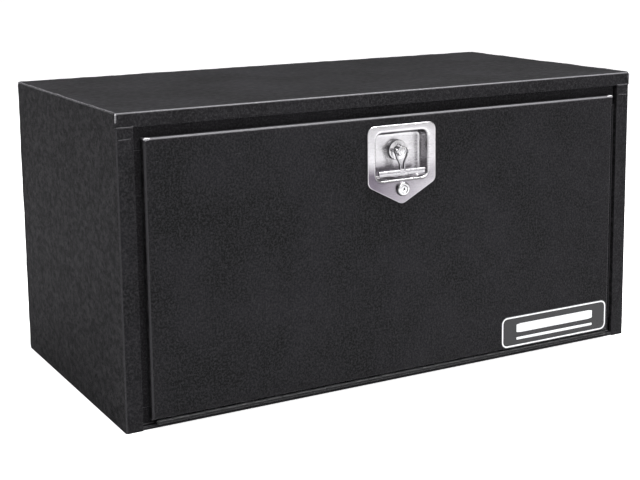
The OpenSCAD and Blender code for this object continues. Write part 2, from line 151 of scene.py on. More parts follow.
def add_lights():
    add_light("overhead_strip", (0.75, -0.75, 2.5), (0.0, -0.22, 0.45), (2.0, 0.9), 118)
    add_light("front_soft", (-0.6, -2.6, 2.0), (0, 0, 0.25), (2.0, 1.2), 22)
    add_light("rear_soft", (-1.1, 2.4, 1.9), (-0.3, 0, 0.4), (1.6, 1.0), 26, (0.96, 0.93, 1.0))


# ---------------------------------------------------------------- node helpers
class Nodes:
    """A material's node tree, with short calls for the few nodes used here."""

    def __init__(self, name, colour, metallic, roughness):
        self.material = bpy.data.materials.new(name)
        self.material.use_nodes = True
        self.tree = self.material.node_tree
        self.shader = self.tree.nodes["Principled BSDF"]
        self.set("Base Color", (*colour, 1))
        self.set("Metallic", metallic)
        self.set("Roughness", roughness)
        texture = self.tree.nodes.new("ShaderNodeTexCoord")
        self.coords = texture.outputs["Object"]
        self.normal = texture.outputs["Normal"]

    def set(self, socket, value):
        self.shader.inputs[socket].default_value = value

    def join(self, source, target):
        self.tree.links.new(source, target)

    def stretched(self, scale):
        node = self.tree.nodes.new("ShaderNodeMapping")
        node.inputs["Scale"].default_value = scale
        self.join(self.coords, node.inputs["Vector"])
        return node.outputs["Vector"]

    def noise(self, scale, detail=2.0, stretch=None, roughness=0.5):
        node = self.tree.nodes.new("ShaderNodeTexNoise")
        node.inputs["Scale"].default_value = scale
        node.inputs["Detail"].default_value = detail
        node.inputs["Roughness"].default_value = roughness
        self.join(self.stretched(stretch) if stretch else self.coords, node.inputs["Vector"])
        return node.outputs["Fac"]

    def cells(self, scale):
        node = self.tree.nodes.new("ShaderNodeTexVoronoi")
        node.inputs["Scale"].default_value = scale
        self.join(self.coords, node.inputs["Vector"])
        return node.outputs["Distance"]

    def remap(self, value, low, high, to_low=0.0, to_high=1.0):
        """The value's range from low to high becomes to_low to to_high, and stays within them."""
        node = self.tree.nodes.new("ShaderNodeMapRange")
        for i, v in enumerate((low, high, to_low, to_high)):
            node.inputs[i + 1].default_value = v
        self.join(value, node.inputs["Value"])
        return node.outputs["Result"]

    def math(self, operation, a, b=0.0):
        node = self.tree.nodes.new("ShaderNodeMath")
        node.operation = operation
        for i, v in enumerate((a, b)):
            if isinstance(v, (int, float)):
                node.inputs[i].default_value = v
            else:
                self.join(v, node.inputs[i])
        return node.outputs["Value"]

    def mix(self, factor, a, b):
        """Colour a where the factor is 0 and b where it is 1."""
        node = self.tree.nodes.new("ShaderNodeMix")
        node.data_type = "RGBA"
        self.join(factor, node.inputs["Factor"])
        for socket, v in ((node.inputs[6], a), (node.inputs[7], b)):
            if isinstance(v, tuple):
                socket.default_value = (*v, 1)
            else:
                self.join(v, socket)
        return node.outputs[2]

    def facing(self):
        """How far the surface faces sideways, fore or aft, up or down (0 to 1), and upwards (-1 to 1)."""
        split = self.tree.nodes.new("ShaderNodeSeparateXYZ")
        self.join(self.normal, split.inputs["Vector"])
        return [self.math("ABSOLUTE", split.outputs[axis]) for axis in "XYZ"] + [split.outputs["Z"]]

    def place(self, axis):
        split = self.tree.nodes.new("ShaderNodeSeparateXYZ")
        self.join(self.coords, split.inputs["Vector"])
        return split.outputs[axis]

    def colour(self, source):
        self.join(source, self.shader.inputs["Base Color"])

    def roughness(self, source):
        self.join(source, self.shader.inputs["Roughness"])

    def bump(self, height, strength, distance):
        node = self.tree.nodes.new("ShaderNodeBump")
        node.inputs["Strength"].default_value = strength
        node.inputs["Distance"].default_value = distance
        self.join(height, node.inputs["Height"])
        self.join(node.outputs["Normal"], self.shader.inputs["Normal"])


# ---------------------------------------------------------------- materials
def times(colour, factor):
    return tuple(c * factor for c in colour)


def powder_coat(name, dark, light, edge, painted_crest_highlight, gloss=0.7, edge_gloss=0.24):
    """Fine-textured powder coat: specked on upright faces, blotched on the end panels, and smoother on its
    bends, which carry a painted highlight in the edge's colour, and a brighter painted highlight where they
    face up."""
    n = Nodes(name, dark, 0.0, gloss)
    n.set("Specular IOR Level", 0.13)
    across, along, up, upward = n.facing()
    square = n.math("MAXIMUM", n.math("MAXIMUM", across, along), up)
    bend = n.remap(square, 0.985, 0.86)
    upright = n.remap(up, 0.5, 0.9, 1, 0.2)
    cloud = n.remap(n.noise(9, 5, roughness=0.65), 0.38, 0.64)
    speckle = n.remap(n.noise(300, 4, roughness=0.7), 0.45, 0.68)
    specked = n.mix(n.math("MULTIPLY", speckle, upright), n.mix(cloud, dark, times(dark, 3.2)), light)
    blotch = n.remap(n.noise(130, 3, stretch=(1, 0.6, 1), roughness=0.7), 0.44, 0.62)
    on_ends = n.remap(across, 0.5, 0.9, 0, 0.8)
    flat = n.mix(on_ends, specked, n.mix(blotch, dark, times(light, 1.15)))
    # Painted highlight: bends take the lighter edge colour, and up-facing bends the lighter crest colour,
    # standing in for light glinting on the bends.
    n.colour(n.mix(bend, flat, n.mix(n.remap(upward, 0.1, 0.5), edge, painted_crest_highlight)))
    grain = n.remap(n.noise(110, 3), 0.3, 0.7, gloss - 0.06, gloss + 0.08)
    n.roughness(n.math("ADD", grain, n.math("MULTIPLY", bend, edge_gloss - gloss)))
    pebbles = n.math("ADD", n.noise(520, 2), n.math("MULTIPLY", n.cells(780), 0.6))
    pebbles = n.math("ADD", pebbles, n.math("MULTIPLY", speckle, 0.9))
    n.bump(n.math("MULTIPLY", pebbles, upright), 0.6, 0.6 * MM)
    return n.material


def painted_shade_mask(n, painted_wall_shade, painted_under_shade):
    """Painted shade: 1 on faces that look out of the pan, and less on side walls and undersides, where shade
    falls.
    """
    across, _, _, upward = n.facing()
    wall = n.remap(across, 0.35, 0.92, 1, painted_wall_shade)
    under = n.remap(upward, -0.12, -0.6, 1, painted_under_shade)
    return n.math("MULTIPLY", wall, under)


def pressed_steel(name, colour, rough):
    """Bright stainless with a fine lay and smears, painted shade on the pocket's walls and undersides, and a
    painted dim reflection darkening the flange's lower left corner.
    """
    painted_dim_reflection, shade = (0.16, 0.14, 0.17), (0.03, 0.028, 0.032)
    n = Nodes(name, colour, 1.0, rough)
    smear = n.remap(n.noise(38, 3), 0.3, 0.7)
    patch = n.remap(n.noise(16, 2, stretch=(1, 1, 0.6)), 0.42, 0.6)
    flat = n.remap(n.facing()[1], 0.93, 0.99)
    low = n.remap(n.place("Z"), HUB_Z - 34 * MM, HUB_Z - 12 * MM, 1, 0)
    left = n.remap(n.place("X"), -50 * MM, 50 * MM, 1, 0.5)
    # Mask of the painted dim reflection: low, facing forwards and towards the left.
    dim_reflection_mask = n.math("MULTIPLY", n.math("MULTIPLY", low, flat), left)
    clean = n.mix(n.math("MULTIPLY", smear, patch), colour, times(colour, 0.84))
    # Painted shade on the pocket's walls and undersides, and a painted dim reflection on the flange's lower
    # left.
    n.colour(n.mix(painted_shade_mask(n, 0.45, 0.05), shade, n.mix(dim_reflection_mask, clean, painted_dim_reflection)))
    lay = n.noise(90, 4, stretch=(1, 1, 40), roughness=0.65)
    n.roughness(n.remap(lay, 0.3, 0.7, rough - 0.05, rough + 0.09))
    n.bump(lay, 0.14, 0.2 * MM)
    return n.material


def cast_finish(name, colour, rough):
    """Polished casting with faint pits, and painted shade darkening its sides and undersides."""
    n = Nodes(name, colour, 1.0, rough)
    pitted = n.mix(n.remap(n.noise(240, 3), 0.45, 0.75), colour, times(colour, 0.75))
    # Painted shade darkens the sides and undersides.
    n.colour(n.mix(painted_shade_mask(n, 0.12, 0.12), times(colour, 0.04), pitted))
    n.roughness(n.remap(n.noise(160, 3), 0.3, 0.7, rough - 0.04, rough + 0.1))
    n.bump(n.noise(420, 3), 0.12, 0.3 * MM)
    return n.material


def zinc(name):
    """Zinc plate with its large, faint crystals."""
    pale, dull = (0.6, 0.6, 0.57), (0.46, 0.47, 0.45)
    n = Nodes(name, (0.55, 0.55, 0.52), 1.0, 0.38)
    n.colour(n.mix(n.remap(n.cells(160), 0.0, 0.6), pale, dull))
    n.roughness(n.remap(n.noise(90, 3), 0.3, 0.7, 0.32, 0.48))
    n.bump(n.noise(500, 2), 0.15, 0.2 * MM)
    return n.material


def rubber(name):
    """Matt sponge rubber with a fine cell pattern."""
    black, worn = (0.010, 0.010, 0.010), (0.024, 0.024, 0.024)
    n = Nodes(name, (0.012, 0.012, 0.012), 0.0, 0.75)
    n.colour(n.mix(n.remap(n.noise(60, 3), 0.35, 0.7), black, worn))
    n.roughness(n.remap(n.noise(200, 2), 0.3, 0.7, 0.66, 0.86))
    n.bump(n.cells(900), 0.4, 0.4 * MM)
    return n.material


def vinyl(name, colour):
    """Smooth printed film, a little uneven."""
    n = Nodes(name, colour, 0.0, 0.3)
    n.colour(n.mix(n.remap(n.noise(25, 3), 0.3, 0.7), colour, times(colour, 0.9)))
    n.roughness(n.remap(n.noise(140, 2), 0.3, 0.7, 0.26, 0.4))
    n.bump(n.noise(260, 2), 0.08, 0.3 * MM)
    return n.material


# The edge and crest colours of each coat below are painted highlights on its bends.
COAT = powder_coat("powder_coat", (0.0026, 0.0025, 0.0030), (0.024, 0.023, 0.025),
                   (0.038, 0.037, 0.040), (0.15, 0.147, 0.156))
# The weld coat is painted lighter than the panels' coat, as a painted highlight along the beads.
COAT_WELD = powder_coat("powder_coat_weld", (0.016, 0.016, 0.017), (0.05, 0.049, 0.052),
                        (0.045, 0.043, 0.047), (0.085, 0.083, 0.088), 0.4)
# A much lighter coat with a near-white crest: a painted glint on the corner welds and the door's corner
# lumps.
COAT_PAINTED_GLINT = powder_coat("powder_coat_painted_glint", (0.05, 0.05, 0.052), (0.15, 0.148, 0.155),
                           (0.28, 0.275, 0.29), (0.75, 0.74, 0.76), 0.34)
FITTING = powder_coat("coated_fitting", (0.004, 0.004, 0.0045), (0.018, 0.018, 0.019),
                      (0.022, 0.022, 0.023), (0.028, 0.028, 0.029), 0.6)
STAINLESS = pressed_steel("stainless_pressed", (0.76, 0.745, 0.765), 0.24)
CASTING = cast_finish("stainless_casting", (0.78, 0.77, 0.785), 0.2)
# A darker copy of the polished casting for the handle: painted shade.
CASTING_PAINTED_SHADE = cast_finish("stainless_casting_painted_shade", (0.56, 0.55, 0.57), 0.26)
ZINC = zinc("zinc_plate")
BRASS = cast_finish("machined_brass", (0.62, 0.46, 0.22), 0.3)
RUBBER = rubber("seal_rubber")
VINYL_BLACK = vinyl("vinyl_black", (0.006, 0.006, 0.007))
VINYL_WHITE = vinyl("vinyl_white", (0.82, 0.82, 0.83))

SLOT_MATERIALS = {
    "powder_coat": COAT, "coated_fittings": FITTING, "stainless": STAINLESS,
    "polished_steel": CASTING, "zinc_steel": ZINC, "brass": BRASS,
    "seal_rubber": RUBBER, "label": VINYL_BLACK,
}


# ---------------------------------------------------------------- the frame's own meshes
CUT_EDGE_NODES = (
    "top_panel", "back_panel", "floor_panel", "left_end_panel", "right_end_panel",
    "header_channel", "sill_channel", "left_jamb", "right_jamb", "strike_bracket",
    "left_stay_anchor", "right_stay_anchor", "left_door_anchor", "right_door_anchor",
    "upper_left_brace", "upper_right_brace", "lower_brace", "door_skin",
    "hinge_leaf_body", "hinge_leaf_door", "pawl", "pawl_washer", "pawl_nut", "latch_nuts",
    "lock_nut", "lock_cam", "shaft_bushing", "label_plate", "latch_studs",
)
CUT_EDGE_R, LABEL_EDGE_R = 0.45 * MM, 0.2 * MM


def dress_cad_nodes():
    slots = {s["node"]: s["material_slot"] for s in frame["record"]["subparts"]}
    for name, node in frame["nodes"].items():
        for slot in node.material_slots:
            slot.material = SLOT_MATERIALS[slots[name]]


def break_edges():
    """Small radii on the cut edges of sheet and turned parts, so that they catch the light."""
    for name in CUT_EDGE_NODES:
        node = frame["nodes"][name]
        weld = node.modifiers.new("weld", "WELD")
        weld.merge_threshold = 0.01 * MM
        bevel = node.modifiers.new("edge", "BEVEL")
        bevel.width = LABEL_EDGE_R if name == "label_plate" else CUT_EDGE_R
        bevel.segments = 2
        bevel.limit_method = "ANGLE"
        bevel.angle_limit = math.radians(35)
        bevel.harden_normals = True


# ---------------------------------------------------------------- mesh helpers
def piece(name, verts, faces, body, material, slot, sharp=38):
    """A mesh object that rides on a body; edges over the angle in degrees stay crisp."""
    mesh = bpy.data.meshes.new(name)
    mesh.from_pydata([tuple(v) for v in verts], [], faces)
    mesh.validate()
    bm = bmesh.new()
    bm.from_mesh(mesh)
    bmesh.ops.recalc_face_normals(bm, faces=bm.faces)
    for face in bm.faces:
        face.smooth = True
    for edge in bm.edges:
        if len(edge.link_faces) == 2:
            edge.smooth = edge.calc_face_angle(0) < math.radians(sharp)
    bm.to_mesh(mesh)
    bm.free()
    mesh.materials.append(material)
    obj = bpy.data.objects.new(name, mesh)
    bpy.context.scene.collection.objects.link(obj)
    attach(obj, body)
    return obj


def joined(parts):
    """Points and faces of several meshes as one."""
    verts, faces = [], []
    for part_verts, part_faces in parts:
        start = len(verts)
        verts += part_verts
        faces += [tuple(i + start for i in face) for face in part_faces]
    return verts, faces


def rings(count, loops, ends="capped"):
    """Faces that join equal loops of points; the end loops are capped or joined to each other."""
    faces = []
    for k in range(loops if ends == "joined" else loops - 1):
        a, b = k * count, (k + 1) % loops * count
        for i in range(count):
            j = (i + 1) % count
            faces.append((a + i, a + j, b + j, b + i))
    if ends == "capped":
        faces.append(tuple(range(count)))
        faces.append(tuple((loops - 1) * count + i for i in range(count)))
    return faces


def turned(profile, centre, axis="Y", ends="capped", segments=72):
    """A shape turned about a line along Y or X; profile is (radius, place along the line)."""
    cx, cy, cz = centre
    verts = []
    for r, t in profile:
        for i in range(segments):
            angle = 2 * math.pi * i / segments
            c, s = r * math.cos(angle), r * math.sin(angle)
            verts.append(Vector((cx + c, t, cz + s)) if axis == "Y" else Vector((t, cy + c, cz + s)))
    return verts, rings(segments, len(profile), ends)


def in_metres(profile):
    """A profile given in millimetres."""
    return [(r * MM, t * MM) for r, t in profile]


def corner_of(points, i):
    """Directions from a corner to its neighbours, and half the angle between them."""
    before = (points[i - 1] - points[i]).normalized()
    after = (points[(i + 1) % len(points)] - points[i]).normalized()
    return before, after, math.acos(max(-1.0, min(1.0, before.dot(after)))) / 2


def grown(points, radii, grow):
    """Corners and radii of an outline moved outwards by a distance."""
    out = []
    for i, p in enumerate(points):
        before, after, half = corner_of(points, i)
        out.append(p - (before + after).normalized() * grow / math.sin(half))
    return out, [r + grow for r in radii]


def round_corners(points, radii, steps=10):
    """Outline with each corner rounded to its own radius; corners run anticlockwise."""
    out = []
    for i, (p, radius) in enumerate(zip(points, radii)):
        before, after, half = corner_of(points, i)
        centre = p + (before + after).normalized() * radius / math.sin(half)
        start = p + before * radius / math.tan(half) - centre
        angle = math.atan2(start.y, start.x)
        for k in range(steps + 1):
            a = angle + (math.pi - 2 * half) * k / steps
            out.append(centre + radius * Vector((math.cos(a), math.sin(a))))
    return out


def rectangle(x, z, w, h):
    return [Vector((x - w / 2, z - h / 2)), Vector((x + w / 2, z - h / 2)),
            Vector((x + w / 2, z + h / 2)), Vector((x - w / 2, z + h / 2))]


def spokes(outline, hub, count):
    """The outline's crossings with evenly spaced rays from a point inside it."""
    found = []
    for i in range(count):
        a = 2 * math.pi * i / count
        ray = Vector((math.cos(a), math.sin(a)))
        side = Vector((-ray.y, ray.x))
        for k, q in enumerate(outline):
            p = outline[k - 1] - hub
            d = q - outline[k - 1]
            across, lift = p.dot(side), d.dot(side)
            if abs(lift) > 1e-12 and 0 <= -across / lift <= 1:
                reach = (p + d * (-across / lift)).dot(ray)
                if reach > 0:
                    found.append(hub + ray * reach)
                    break
    return found


def wobble(seed, s, scale):
    """Smooth noise along a length, in a row of its own for each seed."""
    row_gap = 7.31
    return noise.noise(Vector((s * scale, seed * row_gap, 0.5)))


def bead(path, radius, seed, ripple=0.10, wander=0.25, step=1.2 * MM):
    """A rippled weld bead swept along straight runs, thinner at both ends."""
    sides, pitch = 10, 3.4 * MM
    slow, quick, drift = 0.035, 0.3, 0.05        # waves per millimetre
    points = [Vector(p) for p in path]
    lengths = [0.0]
    for a, b in zip(points, points[1:]):
        lengths.append(lengths[-1] + (b - a).length)
    total = lengths[-1]
    count = max(6, int(total / step))
    verts = []
    for k in range(count + 1):
        s = total * k / count
        run = max(i for i in range(len(points) - 1) if lengths[i] <= s + 1e-9)
        along = (points[run + 1] - points[run]).normalized()
        place = points[run] + along * (s - lengths[run])
        up = Vector((0, 0, 1)) if abs(along.z) < 0.9 else Vector((0, 1, 0))
        side = along.cross(up).normalized()
        up = side.cross(along)
        taper = min(1.0, (min(s, total - s) + 0.25 * radius) / (1.6 * radius))
        swell = ripple * math.sin(2 * math.pi * s / pitch)
        swell += wander * wobble(seed, s / MM, slow) + 0.08 * wobble(seed + 3, s / MM, quick)
        r = radius * math.sqrt(taper) * (1 + swell)
        place += up * radius * wander * wobble(seed + 1, s / MM, drift)
        place += side * radius * wander * wobble(seed + 2, s / MM, drift)
        for i in range(sides):
            a = 2 * math.pi * i / sides
            verts.append(place + side * r * math.cos(a) + up * r * math.sin(a))
    return verts, rings(sides, count + 1)


# ---------------------------------------------------------------- latch pan
SPOKES = 288                                     # points in each loop of the pan
POCKET_DROP, POCKET_W, POCKET_H, POCKET_R = 7 * MM, 92 * MM, 71 * MM, 10 * MM
SHOULDER_DROP, TIP_DROP = 51 * MM, 83.5 * MM     # plate's lower corners and point, below the hub
TIP_R, SHOULDER_R, TOP_R = 12 * MM, 13 * MM, 12 * MM
PAN_SHEET = 1.2 * MM


def plate_outline(grow):
    half = pan_hi.x
    shoulder_z = HUB_Z - SHOULDER_DROP
    corners = [Vector((0, HUB_Z - TIP_DROP)), Vector((half, shoulder_z)), Vector((half, pan_hi.z)),
               Vector((-half, pan_hi.z)), Vector((-half, shoulder_z))]
    return round_corners(*grown(corners, [TIP_R, SHOULDER_R, TOP_R, TOP_R, SHOULDER_R], grow))


def pocket_outline(grow):
    corners = rectangle(0, HUB_Z - POCKET_DROP, POCKET_W, POCKET_H)
    return round_corners(*grown(corners, [POCKET_R] * 4, grow))


def pan_section():
    """The pressed sheet's front from the rim to the floor, and its back from the floor to the rim, as
    rows of outline, growth and depth."""
    front, floor = pan_lo.y, PAN_FLOOR_Y
    lip, root, draft, flat = 4.8 * MM, 4.0 * MM, 1.4 * MM, 3 * MM
    foot = -draft - root
    quarter = [math.pi / 2 * k / 7 for k in range(8)]
    rim = ((0, 1.5), (0, 1.15), (-0.3, 0.5), (-1.0, 0.12), (-2.2, 0))    # millimetres
    fore = [(plate_outline, grow * MM, front + depth * MM) for grow, depth in rim]
    fore += [(pocket_outline, lip + 1.5 * MM, front)]
    fore += [(pocket_outline, lip * (1 - math.sin(a)), front + lip * (1 - math.cos(a))) for a in quarter]
    fore += [(pocket_outline, foot + root * math.cos(a), floor - root * (1 - math.sin(a))) for a in quarter]
    fore += [(pocket_outline, foot - flat, floor)]
    aft = [(pocket_outline, foot - flat, floor + PAN_SHEET)]
    outer, inner = root + PAN_SHEET, lip - PAN_SHEET
    aft += [(pocket_outline, foot + outer * math.cos(a), floor - root + outer * math.sin(a))
            for a in reversed(quarter)]
    aft += [(pocket_outline, lip - inner * math.cos(a), front + lip - inner * math.sin(a)) for a in quarter]
    aft += [(pocket_outline, lip + 1.5 * MM, front + PAN_SHEET)]
    aft += [(plate_outline, -2.2 * MM, front + PAN_SHEET), (plate_outline, -1.0 * MM, front + 1.5 * MM)]
    return fore, aft


def latch_pan():
    """One pressed sheet: rolled rim, flat flange, drafted pocket with rounded corners, pierced floor."""
    hole, land = 8.1 * MM, 13 * MM
    hub = Vector((0, HUB_Z))
    floor, behind = PAN_FLOOR_Y, PAN_FLOOR_Y + PAN_SHEET

    def loops(rows):
        return [[(p.x, y, p.y) for p in spokes(shape(grow), hub, SPOKES)] for shape, grow, y in rows]

    def circle(r, y):
        angles = [2 * math.pi * i / SPOKES for i in range(SPOKES)]
        return [(r * math.cos(a), y, HUB_Z + r * math.sin(a)) for a in angles]

    def between(a, b, t):
        """A loop part of the way from one to another."""
        return [tuple(p + (q - p) * t for p, q in zip(u, w)) for u, w in zip(a, b)]

    fore, aft = (loops(rows) for rows in pan_section())
    pierced = [circle(land, floor), circle(hole, floor), circle(hole, behind), circle(land, behind)]
    fore += [between(fore[-1], pierced[0], t) for t in (0.35, 0.7)]
    gap = [between(pierced[-1], aft[0], t) for t in (0.3, 0.65)]
    sheet = fore + pierced + gap + aft
    verts = [v for loop in sheet for v in loop]
    faces = rings(SPOKES, len(sheet), "joined")
    pan = piece("latch_pan_pressed", verts, faces, "door", STAINLESS, "stainless", 50)
    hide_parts("latch_pan")


# ---------------------------------------------------------------- handle, hub and pin
BAR_R = 3 * MM                                   # radius of the CAD model's round cross bar
BAR_Y, BAR_Z = bar_lo.y + BAR_R, bar_lo.z + BAR_R


def sweep(path, width, depth, sides=20):
    """A bar of oval section along a curve of points; the depth is measured along Y."""
    points = [Vector(p) for p in path]
    verts = []
    for k, p in enumerate(points):
        along = (points[min(k + 1, len(points) - 1)] - points[max(k - 1, 0)]).normalized()
        side = along.cross(Vector((0, 1, 0))).normalized()
        for i in range(sides):
            a = 2 * math.pi * i / sides
            verts.append(p + side * width / 2 * math.cos(a) + Vector((0, depth / 2 * math.sin(a), 0)))
    return verts, rings(sides, len(points))


def slab_bar(half, y, z, height, depth):
    """A flat bar along X with rounded long edges."""
    section = round_corners(rectangle(0, 0, depth, height), [1.1 * MM] * 4, 4)
    verts = [Vector((x, y + p.x, z + p.y)) for x in (-half, half) for p in section]
    return verts, rings(len(section), 2)


def bar_ridge():
    """The round upper edge of the cross bar, a little thicker in the middle."""
    half, r = bar_hi.x, 2.1 * MM
    end_r, near_end_r, middle_r = r * 0.8, r - 0.1 * MM, r * 1.06
    right = [(r, half - 3 * MM), (near_end_r, half - 0.5 * MM), (end_r, half)]
    left = [(radius, -x) for radius, x in reversed(right)]
    return turned(left + [(middle_r, 0)] + right, (0, BAR_Y, BAR_Z + 2.1 * MM), "X", segments=32)


def yoke_arm(sign):
    """One arm, from its eye on the pivot pin down to the bar, drawing in towards the middle."""
    eye_x, stem_x, wide, deep = 9.8 * MM, 3.7 * MM, 3.1 * MM, 4.8 * MM
    turn_starts, turn_lasts, steps = 0.15, 0.5, 14
    path = []
    for k in range(steps + 1):
        t = k / steps
        turn = min(1.0, max(0.0, (t - turn_starts) / turn_lasts))
        ease = turn * turn * (3 - 2 * turn)
        path.append((sign * (eye_x - (eye_x - stem_x) * ease),
                     PIVOT_Y + (BAR_Y - PIVOT_Y) * t,
                     HUB_Z + (BAR_Z - HUB_Z) * t))
    return sweep(path, wide, deep)


def yoke_eye(sign):
    """The ring of one arm around the pivot pin."""
    near, far = sorted((sign * 8.35 * MM, sign * 11.3 * MM))
    edge_r, r, soft = 4.0 * MM, 4.5 * MM, 0.5 * MM
    profile = [(edge_r, near), (r, near + soft), (r, far - soft), (edge_r, far)]
    return turned(profile, (0, PIVOT_Y, HUB_Z), "X", segments=32)


def t_handle():
    """Forged yoke and cross bar, blended into one skin."""
    web_half, web_high, web_deep = bar_hi.x * 0.985, 7.2 * MM, 3.6 * MM
    parts = [bar_ridge(), slab_bar(web_half, BAR_Y + 0.6 * MM, BAR_Z - 1.0 * MM, web_high, web_deep)]
    for sign in (-1, 1):
        parts += [yoke_arm(sign), yoke_eye(sign)]
    stem = [(0, BAR_Y, BAR_Z + k * MM) for k in (-1, 1, 3, 5)]
    parts.append(sweep(stem, 10 * MM, 4.6 * MM))
    # The handle takes the darker copy of the casting, as painted shade.
    handle = piece("t_handle_forged", *joined(parts), "handle", CASTING_PAINTED_SHADE, "stainless", 180)
    skin = handle.modifiers.new("skin", "REMESH")
    skin.mode = "VOXEL"
    skin.voxel_size = 0.42 * MM
    skin.use_smooth_shade = True
    fair = handle.modifiers.new("fair", "SMOOTH")
    fair.factor = 0.5
    fair.iterations = 3
    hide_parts("t_handle")


def latch_hub():
    """Boss with a grooved face, a disc just off the pan's floor, and a shaft threaded from the pawl on."""
    front, back = hub_lo.y / MM, hub_hi.y / MM
    disc_t, disc_gap, turns = 8, 0.3, 11
    disc_back = PAN_FLOOR_Y / MM - disc_gap
    disc_front = disc_back - disc_t
    thread_start, thread_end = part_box("pawl")[0].y / MM, back - 0.8
    # radius and depth behind the front, in millimetres
    face = [(3.4, 0.2), (4.0, 0.35), (4.2, 0.9), (5.0, 0.9), (5.2, 0.35), (5.6, 0.05), (6.9, 0),
            (7.6, 0.35), (8.0, 1.0)]
    profile = [(r, front + depth) for r, depth in face]
    profile += [(8.0, disc_front - 1.4), (8.4, disc_front - 0.5), (9.4, disc_front), (14.4, disc_front),
                (15.5, disc_front + 0.35), (16.0, disc_front + 1.3), (16.0, disc_back - 0.5),
                (15.6, disc_back), (6.0, disc_back), (6.0, thread_start)]
    for k in range(turns):
        t = thread_start + (thread_end - thread_start) * k / turns
        profile += [(4.55, t + 0.05), (4.98, t + 0.45)]
    profile += [(4.98, thread_end), (4.2, back)]
    shape = turned(in_metres(profile), (0, 0, HUB_Z))
    hub = piece("latch_hub_turned", *shape, "hub", CASTING, "stainless", 30)
    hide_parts("latch_hub")


def handle_pin():
    """Pivot pin with a peened head at each end."""
    reach = pin_hi.x / MM
    # radius and depth in from the end, in millimetres
    head = [(2.0, 1.2), (2.9, 1.2), (3.0, 0.85), (2.7, 0.35), (2.0, 0), (1.4, 0), (1.0, 0.5), (0.6, 0.85)]
    end = [(r, reach - depth) for r, depth in head]
    profile = [(r, -t) for r, t in reversed(end)] + end
    shape = turned(in_metres(profile), (0, PIVOT_Y, HUB_Z), "X", segments=40)
    pin = piece("handle_pin_headed", *shape, "hub", CASTING, "stainless", 30)
    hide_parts("handle_pin")


# ---------------------------------------------------------------- key lock
def lock_head():
    """Round head with a domed edge, and a threaded barrel behind the pan."""
    front, back, seat = lock_lo.y / MM, lock_hi.y / MM, pan_lo.y / MM
    # radius and depth behind the front, in millimetres
    head = [(6.1, 0.5), (6.4, 0.1), (7.0, 0), (8.7, 0.1), (9.9, 0.7), (10.8, 1.9), (11.35, 3.6)]
    profile = [(r, front + depth) for r, depth in head]
    profile += [(11.5, seat - 0.5), (11.5, seat), (9.5, seat + 0.01)]
    for turn in range(16):
        profile += [(9.5, seat + 5.5 + turn), (9.1, seat + 6.0 + turn)]
    profile += [(9.5, back - 1.0), (9.0, back), (6.1, back)]
    shape = turned(in_metres(profile), (0, 0, LOCK_Z), ends="joined")
    housing = piece("lock_housing_turned", *shape, "door", CASTING, "polished_steel", 30)
    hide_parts("lock_housing")


def lock_plug():
    """Plug with a rounded rim and a key slot that widens into a bore in the middle."""
    front, back, deep, count = plug_lo.y, plug_hi.y, 5 * MM, 96
    slot_half, slot_high, bore = 0.55 * MM, 2.3 * MM, 1.35 * MM

    def around(radius_at, y):
        angles = [2 * math.pi * (i + 0.5) / count for i in range(count)]
        return [Vector((radius_at(a) * math.cos(a), y, LOCK_Z + radius_at(a) * math.sin(a))) for a in angles]

    def keyway(grow, y):
        def radius_at(a):
            slot = min((slot_half + grow) / abs(math.cos(a)), (slot_high + grow) / abs(math.sin(a)))
            return max(slot, bore + grow)
        return around(radius_at, y)

    def ring(r, y):
        return around(lambda a: r, y)

    loops = [keyway(0, front + deep), keyway(0, front + 0.5 * MM), keyway(0.35 * MM, front + 0.1 * MM),
             ring(3.4 * MM, front), ring(5.2 * MM, front), ring(5.75 * MM, front + 0.2 * MM),
             ring(5.95 * MM, front + 0.6 * MM), ring(5.95 * MM, back)]
    verts = [v for loop in loops for v in loop]
    faces = rings(count, len(loops))
    plug = piece("lock_plug_keyed", verts, faces, "lock", CASTING, "polished_steel", 35)
    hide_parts("lock_plug")


# ---------------------------------------------------------------- welds and marks in the coat
def add_beads(name, body, beads, material=COAT_WELD):
    piece(name, *joined(beads), body, material, "powder_coat", 75)


def front_corner_welds(side, x, inward, seed):
    """Beads on one stile, under the flange, and on the box's upright corner above it; inward is 1 on the
    left and -1 on the right."""
    inner_x = STILE_X * inward
    joint = HEADER_Z - 2 * MM
    joint_y, faint_y, corner_y = FACE_Y + 0.2 * MM, FACE_Y + 0.75 * MM, FACE_Y + 0.5 * MM
    corner_x = x - inward * 0.2 * MM
    across = [(x, joint_y, joint), (inner_x - inward * MM, joint_y, joint),
              (inner_x, joint_y + 0.2 * MM, joint + 2 * MM)]
    faint = [(x + inward * 2 * MM, faint_y, joint - 17 * MM),
             (inner_x - inward * 3 * MM, faint_y, joint - 16 * MM)]
    corner = [(corner_x, corner_y, TOP_Z - 1.5 * MM), (corner_x, corner_y, TOP_Z - 14 * MM)]
    add_beads("stile_joint_welds_" + side, "root", [bead(across, 1.35 * MM, seed + 2, step=0.7 * MM),
                                                    bead(faint, 1.1 * MM, seed + 4, step=0.7 * MM)])
    # The upright corner bead is coloured with a painted glint.
    add_beads("corner_weld_" + side, "root", [bead(corner, 1.3 * MM, seed + 3, step=0.7 * MM)], COAT_PAINTED_GLINT)


def floor_stitches():
    """Short beads inside the box, where the floor meets the back panel and the end panels."""
    half, inset, radius = 14 * MM, 2.4 * MM, 1.8 * MM
    stitches = []
    for k in range(6):
        x, y = (k - 2.5) * 150 * MM, BACK_Y - inset
        stitches.append(bead([(x - half, y, inset), (x + half, y, inset)], radius, 20 + k))
    for k in range(3):
        y = (k - 1) * 130 * MM
        for x in (LEFT_X + inset, RIGHT_X - inset):
            stitches.append(bead([(x, y - half, inset), (x, y + half, inset)], radius, 30 + k))
    return stitches


